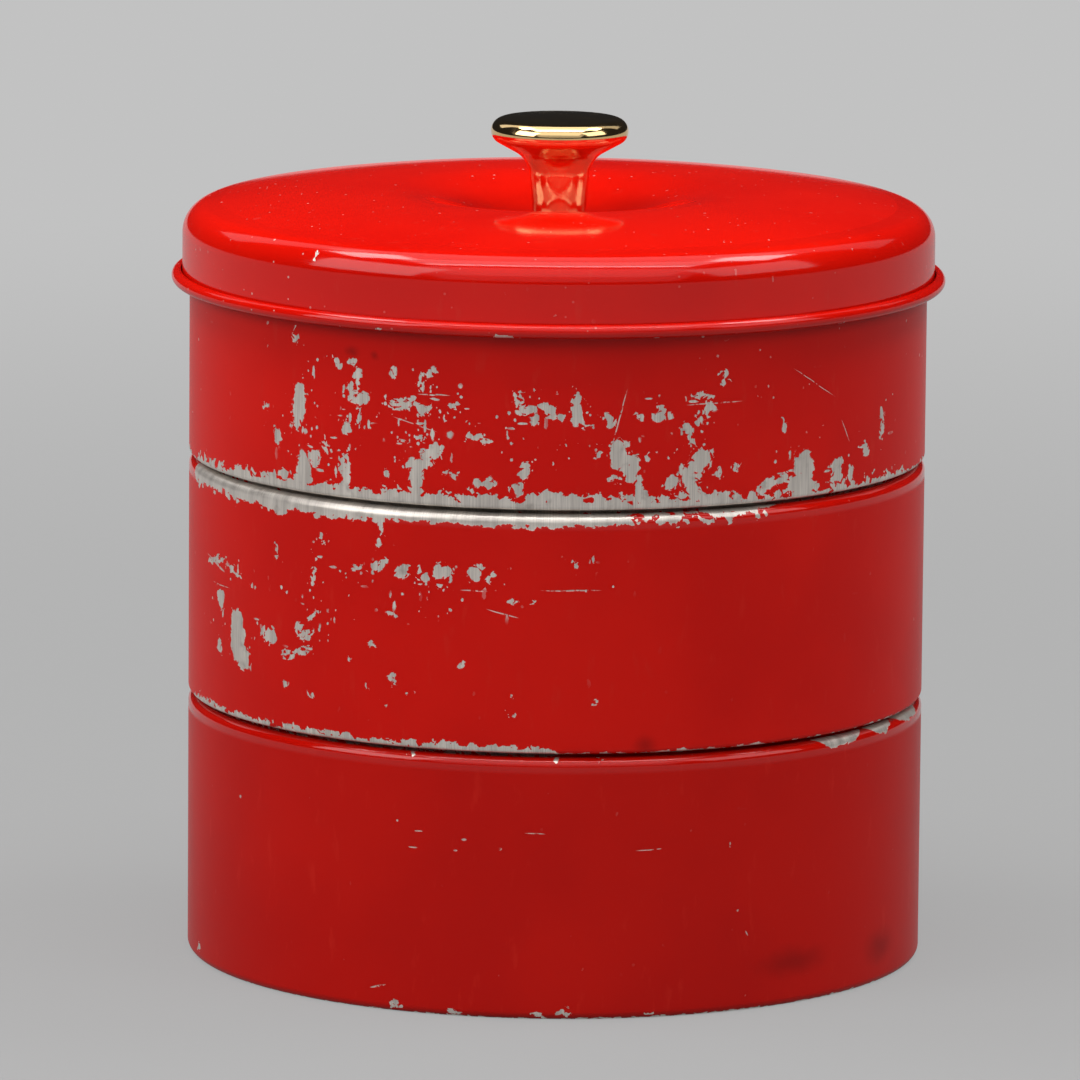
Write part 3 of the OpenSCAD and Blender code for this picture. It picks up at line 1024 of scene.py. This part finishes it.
def thicken(mesh: bmesh.types.BMesh, sheet: float) -> None:
    """Gives a turned skin its sheet's thickness, and marks the faces of the new side with material 1.

    Args:
        mesh: The skin, which stays as the outer side.
        sheet: The thickness, towards the inner side.
    """
    outer = set(mesh.faces)
    bmesh.ops.solidify(mesh, geom=list(outer), thickness=sheet)
    for face in mesh.faces:
        face.material_index = 0 if face in outer else 1
    LOG.debug("thickened to %d faces", len(mesh.faces))


def piece_from(
    mesh: bmesh.types.BMesh, name: str, materials: Sequence[bpy.types.Material]
) -> bpy.types.Object:
    """Makes a smooth-shaded object of a mesh.

    Args:
        mesh: The mesh, which is freed.
        name: The object's name.
        materials: Its materials.

    Returns:
        The object, linked to the scene.
    """
    for face in mesh.faces:
        face.smooth = True
    data = bpy.data.meshes.new(name)
    mesh.to_mesh(data)
    mesh.free()
    for material in materials:
        data.materials.append(material)
    made = bpy.data.objects.new(name, data)
    bpy.context.scene.collection.objects.link(made)
    return made


# --- Sub-assemblies ---


@dataclass(frozen=True)
class Sheet:
    """Sizes that all the pressed pieces share."""

    wall_r: float = 120.0 * MM
    thickness: float = 0.9 * MM
    rim_round: float = 3.0 * MM
    base_round: float = 2.5 * MM
    bead_round: float = 2.2 * MM
    curl_slit: float = 0.4 * MM
    box_margin: float = 0.004 * MM

    def curl_angle(self, radius: float) -> float:
        """Returns the degrees that a curl of that outside radius turns before it meets its own sheet."""
        return 360.0 - math.degrees(math.acos((radius - self.thickness - self.curl_slit) / radius))


@dataclass
class Tier:
    """A drawn pan: a floor with a raised panel, a wall, a rolled rim and, on upper tiers, a nesting foot."""

    node: str
    name: str
    wear: Wear
    has_foot: bool
    # Painted shade: what the tier's reds are multiplied by, below 1 on the lower tiers to darken them.
    shade: float = 1.0
    sheet: Sheet = field(default_factory=Sheet)
    stand_w: float = 12.0 * MM
    panel_rise: float = 1.0 * MM
    panel_slope_w: float = 3.0 * MM
    foot_drop: float = 7.0 * MM
    foot_fit: float = 0.45 * MM
    flare_round: float = 4.0 * MM
    step_round: float = 1.4 * MM
    seat_gap: float = 0.3 * MM
    floor_z: float = field(init=False)
    rim_z: float = field(init=False)

    def __post_init__(self) -> None:
        """Reads the tier's place from its node."""
        low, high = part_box(self.node)
        self.floor_z = low[2]
        self.rim_z = high[2]

    def ledge_z(self) -> float:
        """Returns the height of the ledge under the wall, where the flare cradles the rim below."""
        if not self.has_foot:
            return self.floor_z
        slack = self.flare_round - self.sheet.rim_round
        lift = slack + math.sqrt((slack - self.seat_gap) ** 2 - (slack - self.foot_fit) ** 2)
        return self.floor_z + self.foot_drop + lift

    def outline(self) -> Lathe:
        """Returns the outline of the pan's outer side, from its middle to the end of its curl."""
        base, wall_r = self.sheet.base_round, self.sheet.wall_r
        foot_r = wall_r - 2 * self.sheet.rim_round - self.foot_fit
        floor_r = foot_r if self.has_foot else wall_r
        ring = floor_r - base - self.stand_w
        lathe = Lathe(0.0, self.floor_z + self.panel_rise)
        lathe.line(ring - self.panel_slope_w, self.floor_z + self.panel_rise)
        lathe.line(ring, self.floor_z)
        lathe.line(floor_r - base, self.floor_z)
        lathe.bend((floor_r - base, self.floor_z + base), 90.0, 10)
        if self.has_foot:
            ledge = self.ledge_z()
            lathe.line(foot_r, ledge - self.flare_round)
            lathe.bend((foot_r + self.flare_round, ledge - self.flare_round), -90.0, 12)
            lathe.line(wall_r - self.step_round, ledge)
            lathe.bend((wall_r - self.step_round, ledge + self.step_round), 90.0, 8)
        rim = self.sheet.rim_round
        lathe.line(wall_r, self.rim_z - rim)
        lathe.bend((wall_r - rim, self.rim_z - rim), self.sheet.curl_angle(rim), 40)
        return lathe

    def build(self) -> bpy.types.Object:
        """Builds and dresses the tier.

        Returns:
            The piece.
        """
        mesh = self.outline().turn()
        thicken(mesh, self.sheet.thickness)
        lacquer = RedLacquer(
            radius=self.sheet.wall_r / MM,
            wear=self.wear,
            inner_r=(self.sheet.wall_r - 2 * self.sheet.base_round) / MM,
            edges={Edge.FOOT: self.ledge_z() / MM, Edge.RIM: self.rim_z / MM},
            shade=self.shade,
            sheltered=(self.rim_z - 1.3 * self.sheet.rim_round) / MM,
        )
        materials = [lacquer.material(f"lacquer_{self.name}"), PanInside().material(f"inside_{self.name}")]
        piece = piece_from(mesh, self.name, materials)
        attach(piece, self.node)
        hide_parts(self.node)
        return piece


@dataclass
class Lid:
    """The pressed lid: a bead, a skirt, a shoulder and a crown that sinks to a dish."""

    node: str = "lid"
    sheet: Sheet = field(default_factory=Sheet)
    skirt_h: float = 14.1 * MM
    shoulder_round: float = 9.5 * MM
    crown_round: float = 350.0 * MM
    lip_r: float = 57.5 * MM
    lip_round: float = 70.0 * MM
    dish_depth: float = 10.0 * MM
    dish_seat_r: float = 14.0 * MM
    hole_r: float = 2.2 * MM
    lid_fit: float = 1.5 * MM

    def skirt_r(self) -> float:
        """Returns the outside radius of the skirt."""
        return self.sheet.wall_r + self.lid_fit + self.sheet.thickness

    def outline(self) -> Lathe:
        """Returns the outline of the lid's outer side, from the screw hole out and down round the bead."""
        low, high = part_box(self.node)
        skirt_r = self.skirt_r()
        bead = (min(high[0], high[1]) - self.sheet.box_margin - skirt_r + self.sheet.thickness) / 2
        bead_z = low[2] + bead
        shoulder_z = bead_z + self.skirt_h
        shoulder_c = skirt_r - self.shoulder_round
        reach = self.crown_round - self.shoulder_round
        crown_angle = math.asin((shoulder_c - self.lip_r) / reach)
        lip_z = shoulder_z + self.crown_round - reach * math.cos(crown_angle)
        dish_z = lip_z - self.dish_depth
        dish_w = self.lip_r - self.dish_seat_r
        dish_angle = math.degrees(2 * math.atan(self.dish_depth / dish_w))
        bowl_round = (dish_w**2 + self.dish_depth**2) / (2 * self.dish_depth) - self.lip_round
        lathe = Lathe(self.hole_r, dish_z)
        lathe.line(self.dish_seat_r, dish_z)
        lathe.bend((self.dish_seat_r, dish_z + bowl_round), dish_angle, 18)
        lathe.bend((self.lip_r, lip_z - self.lip_round), -dish_angle, 24)
        lathe.bend((self.lip_r, lip_z - self.crown_round), -math.degrees(crown_angle), 20)
        lathe.bend((shoulder_c, shoulder_z), math.degrees(crown_angle) - 90.0, 26)
        lathe.line(skirt_r, bead_z)
        lathe.bend((skirt_r - self.sheet.thickness + bead, bead_z), self.sheet.curl_angle(bead), 36)
        return lathe

    def build(self) -> bpy.types.Object:
        """Builds and dresses the lid.

        Returns:
            The piece.
        """
        low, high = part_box(self.node)
        mesh = self.outline().turn()
        thicken(mesh, self.sheet.thickness)
        bead_top = low[2] + 2 * self.sheet.bead_round + self.sheet.thickness
        skirt_inside = self.skirt_r() - self.sheet.thickness
        for face in mesh.faces:
            middle = face.calc_center_median()
            if middle.z < bead_top and middle.xy.length > skirt_inside + 0.1 * MM:
                face.material_index = 0
        lacquer = RedLacquer(
            radius=high[0] / MM,
            wear=LID_WEAR,
            inner_r=100.0,
            dust=0.22,
            fall=Fall(start=110.0, knee=114.4, end=117.1, slope=0.31),
            coat=0.64,
            coat_rough=0.1,
            coat_ior=1.5,
        )
        materials = [lacquer.material("lacquer_lid"), PanInside().material("inside_lid")]
        piece = piece_from(mesh, "lid_shell", materials)
        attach(piece, "lid")
        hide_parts(self.node)
        return piece


@dataclass
class Knob:
    """The turned knob: a stem that flares into a thin domed head, with a blind hole for its screw."""

    node: str = "knob"
    head_r: float = 22.4 * MM
    edge_round: float = 4.2 * MM
    dome_round: float = 260.0 * MM
    under_slope: float = 29.0
    stem_r: float = 8.4 * MM
    taper: float = 5.0
    flare_round: float = 9.4 * MM
    foot_chamfer: float = 0.6 * MM
    hole_r: float = 2.05 * MM
    hole_depth: float = 12.1 * MM

    def outline(self) -> Lathe:
        """Returns the outline of the knob, from the end of its hole round to the top of its dome."""
        low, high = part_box(self.node)
        foot_z, top_z = low[2], high[2]
        slope, taper = math.radians(self.under_slope), math.radians(self.taper)
        edge_c = self.head_r - self.edge_round
        dome_drop = math.sqrt((self.dome_round - self.edge_round) ** 2 - edge_c**2)
        edge_z = top_z - self.dome_round + dome_drop
        dome_angle = math.degrees(math.asin(edge_c / (self.dome_round - self.edge_round)))
        stem_line = self.stem_r + self.flare_round / math.cos(taper)
        reach = edge_c * math.sin(slope) + self.edge_round + self.flare_round
        rise = edge_z - foot_z + stem_line * math.tan(slope) - reach / math.cos(slope)
        rise /= 1 - math.tan(taper) * math.tan(slope)
        flare_c, flare_z = stem_line + rise * math.tan(taper), foot_z + rise
        flare_side = Vector((-math.cos(taper), math.sin(taper)))
        flare_start = Vector((flare_c, flare_z)) + self.flare_round * flare_side
        lathe = Lathe(0.0, foot_z + self.hole_depth)
        lathe.line(self.hole_r, foot_z + self.hole_depth)
        lathe.line(self.hole_r, foot_z)
        lathe.line(self.stem_r - self.foot_chamfer, foot_z)
        lathe.line(self.stem_r + self.foot_chamfer * math.tan(taper), foot_z + self.foot_chamfer)
        lathe.line(flare_start.x, flare_start.y)
        lathe.bend((flare_c, flare_z), self.under_slope + self.taper - 90.0, 24)
        edge_start = Vector((edge_c, edge_z)) + self.edge_round * Vector((math.sin(slope), -math.cos(slope)))
        lathe.line(edge_start.x, edge_start.y)
        lathe.bend((edge_c, edge_z), 180.0 - self.under_slope - dome_angle, 24)
        lathe.bend((0.0, top_z - self.dome_round), dome_angle, 12)
        return lathe

    def build(self) -> bpy.types.Object:
        """Builds and dresses the knob.

        Returns:
            The piece.
        """
        piece = piece_from(self.outline().turn(), "lid_knob", [GoldPlate().material("gold_plate")])
        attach(piece, "lid")
        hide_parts(self.node)
        return piece


@dataclass
class Fastenings:
    """The screw and the two washers that hold the knob, which keep their exact shapes."""

    nodes: tuple[str, ...] = ("knob_screw", "flat_washer", "split_washer")

    def build(self) -> None:
        """Dresses the nodes."""
        material = PlatedSteel().material("plated_steel")
        for name in self.nodes:
            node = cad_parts[name]
            for slot in node.material_slots:
                slot.material = material


# --- Studio ---


@dataclass(frozen=True)
class Lamp:
    """A soft lamp.

    Attributes:
        name: The lamp's name.
        place: Where it stands.
        wide: Its width.
        high: Its height.
        power: Its power in watts.
    """

    name: str
    place: tuple[float, float, float]
    wide: float
    high: float
    power: float


@dataclass
class Studio:
    """The pale floor, the soft lamps and the camera."""

    aim: tuple[float, float, float] = (0.0, 0.0, 0.13)
    floor_size: float = 40.0
    lamps: tuple[Lamp, ...] = (
        Lamp("key_edge", (0.0, -0.8, 2.35), 2.5, 0.14, 13.1),
        Lamp("key_front", (0.0, -0.36, 2.35), 2.5, 0.72, 16.5),
        Lamp("key_back", (0.0, 0.55, 2.35), 2.5, 1.05, 12.2),
        Lamp("left_end", (-1.25, 0.25, 2.3), 0.7, 0.6, 14.8),
        Lamp("right_end", (1.3, 0.3, 2.3), 0.7, 0.6, 14.8),
        Lamp("left_back", (-1.75, 1.7, 2.3), 0.9, 2.0, 5.2),
        Lamp("right_back", (1.8, 1.6, 2.3), 0.9, 2.0, 3.0),
        Lamp("front_box", (0.0, -2.0, 2.2), 3.5, 1.6, 12.2),
        Lamp("left_box", (-1.9, -1.0, 1.35), 1.6, 1.4, 23.5),
        Lamp("right_box", (1.9, -0.8, 1.4), 1.5, 1.2, 11.3),
        Lamp("fill_box", (0.0, -4.2, 3.2), 8.0, 5.0, 66.1),
    )
    world: Colour = (0.02, 0.02, 0.021)
    camera_place: tuple[float, float, float] = (0.0, -3.526, 0.7313)
    camera_pitch: float = 9.605
    camera_yaw: float = -0.086
    camera_roll: float = -0.486
    camera_lens: float = 364.73

    def build(self) -> None:
        """Sets up the whole studio."""
        self.lay_floor()
        for lamp in self.lamps:
            self.hang(lamp)
        self.light_world()
        self.set_camera()
        bpy.context.scene.view_settings.view_transform = "Standard"

    def lay_floor(self) -> None:
        """Lays the floor."""
        mesh = bmesh.new()
        bmesh.ops.create_grid(mesh, x_segments=1, y_segments=1, size=self.floor_size / 2)
        floor = piece_from(mesh, "studio_floor", [StudioFloor().material("studio_floor")])

    def hang(self, lamp: Lamp) -> None:
        """Hangs a lamp so that it faces the tin.

        Args:
            lamp: The lamp.
        """
        data = bpy.data.lights.new(lamp.name, "AREA")
        data.shape = "RECTANGLE"
        data.size = lamp.wide
        data.size_y = lamp.high
        data.energy = lamp.power
        made = bpy.data.objects.new(lamp.name, data)
        heading = Vector(self.aim) - Vector(lamp.place)
        made.rotation_euler = heading.to_track_quat("-Z", "Y").to_euler()
        made.location = lamp.place
        bpy.context.scene.collection.objects.link(made)

    def light_world(self) -> None:
        """Gives the world a plain dim colour."""
        world = bpy.data.worlds.new("studio")
        world.use_nodes = True
        background = world.node_tree.nodes["Background"]
        background.inputs["Color"].default_value = (*self.world, 1.0)
        background.inputs["Strength"].default_value = 1.0
        bpy.context.scene.world = world

    def set_camera(self) -> None:
        """Sets the camera."""
        data = bpy.data.cameras.new("camera")
        data.lens = self.camera_lens
        data.sensor_width = 36.0
        data.clip_end = 100.0
        camera = bpy.data.objects.new("camera", data)
        level = Matrix.Rotation(math.radians(90.0 - self.camera_pitch), 4, "X")
        heading = Matrix.Rotation(-math.radians(self.camera_yaw), 4, "Z")
        roll = Matrix.Rotation(-math.radians(self.camera_roll), 4, "Z")
        camera.matrix_world = Matrix.Translation(self.camera_place) @ heading @ level @ roll
        bpy.context.scene.collection.objects.link(camera)
        bpy.context.scene.camera = camera


def main() -> None:
    """Builds the tin and its studio."""
    logging.basicConfig(level=logging.INFO)
    tiers = (
        # The lower tiers' reds are darkened with painted shade: 0.8 on the bottom tier and 0.94 on the
        # middle one.
        Tier("tier_bottom", "bottom_pan", BOTTOM_TIER_WEAR, has_foot=False, shade=0.8),
        Tier("tier_middle", "middle_pan", MIDDLE_TIER_WEAR, has_foot=True, shade=0.94),
        Tier("tier_top", "top_pan", TOP_TIER_WEAR, has_foot=True),
    )
    for tier in tiers:
        tier.build()
    Lid().build()
    Knob().build()
    Fastenings().build()
    Studio().build()


if __name__ == "__main__":
    main()
